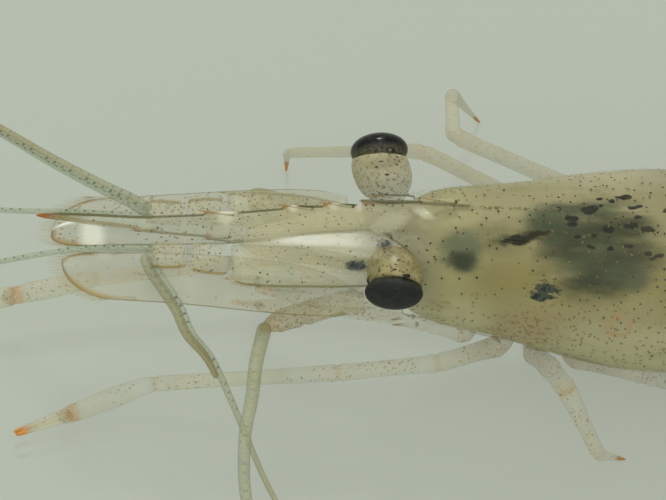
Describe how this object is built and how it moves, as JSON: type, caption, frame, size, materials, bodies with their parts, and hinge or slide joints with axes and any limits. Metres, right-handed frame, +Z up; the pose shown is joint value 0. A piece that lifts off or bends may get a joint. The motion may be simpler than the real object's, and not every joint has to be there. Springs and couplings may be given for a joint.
{
  "type": "ghost shrimp",
  "caption": "Live ghost shrimp standing on its walking legs: toothed horn, stalked eyes, clear head scales, long feelers, slim claws, ringed hind body and a spread tail fan.",
  "frame": {"origin": "middle of the whole animal's box, on the ground that the feet and the tail fan rest on", "axes": "+X from the head to the tail, +Y to the animal's right, +Z up"},
  "size_m": [0.0554, 0.0294, 0.0065],
  "materials": {
    "shell": "gloss",
    "clear": "gloss",
    "limb": "satin",
    "feeler": "satin",
    "stalk": "satin",
    "eye": "gloss"
  },
  "bodies": {
    "root": {"carapace": "shell", "rostrum": "clear", "abdomen_1": "shell", "abdomen_2": "shell", "abdomen_3": "shell", "abdomen_4": "shell", "abdomen_5": "shell", "abdomen_6": "shell", "telson": "shell", "uropod_inner_L": "clear", "uropod_outer_L": "clear", "eyestalk_L": "stalk", "eye_L": "eye", "antennule_base_L": "clear", "antenna_scale_L": "clear", "antennule_outer_L": "feeler", "antennule_inner_L": "feeler", "antenna_base_L": "limb", "antenna_1_L": "feeler", "antenna_2_L": "feeler", "antenna_3_L": "feeler", "maxilliped_L": "limb", "leg1_L": "limb", "leg2_L": "limb", "leg3_L": "limb", "leg4_L": "limb", "leg5_L": "limb", "pleopod_1_L": "limb", "pleopod_2_L": "limb", "pleopod_3_L": "limb", "pleopod_4_L": "limb", "pleopod_5_L": "limb", "uropod_inner_R": "clear", "uropod_outer_R": "clear", "eyestalk_R": "stalk", "eye_R": "eye", "antennule_base_R": "clear", "antenna_scale_R": "clear", "antennule_outer_R": "feeler", "antennule_inner_R": "feeler", "antenna_base_R": "limb", "antenna_1_R": "feeler", "antenna_2_R": "feeler", "antenna_3_R": "feeler", "maxilliped_R": "limb", "leg1_R": "limb", "leg2_R": "limb", "leg3_R": "limb", "leg4_R": "limb", "leg5_R": "limb", "pleopod_1_R": "limb", "pleopod_2_R": "limb", "pleopod_3_R": "limb", "pleopod_4_R": "limb", "pleopod_5_R": "limb"}
  },
  "joints": []
}
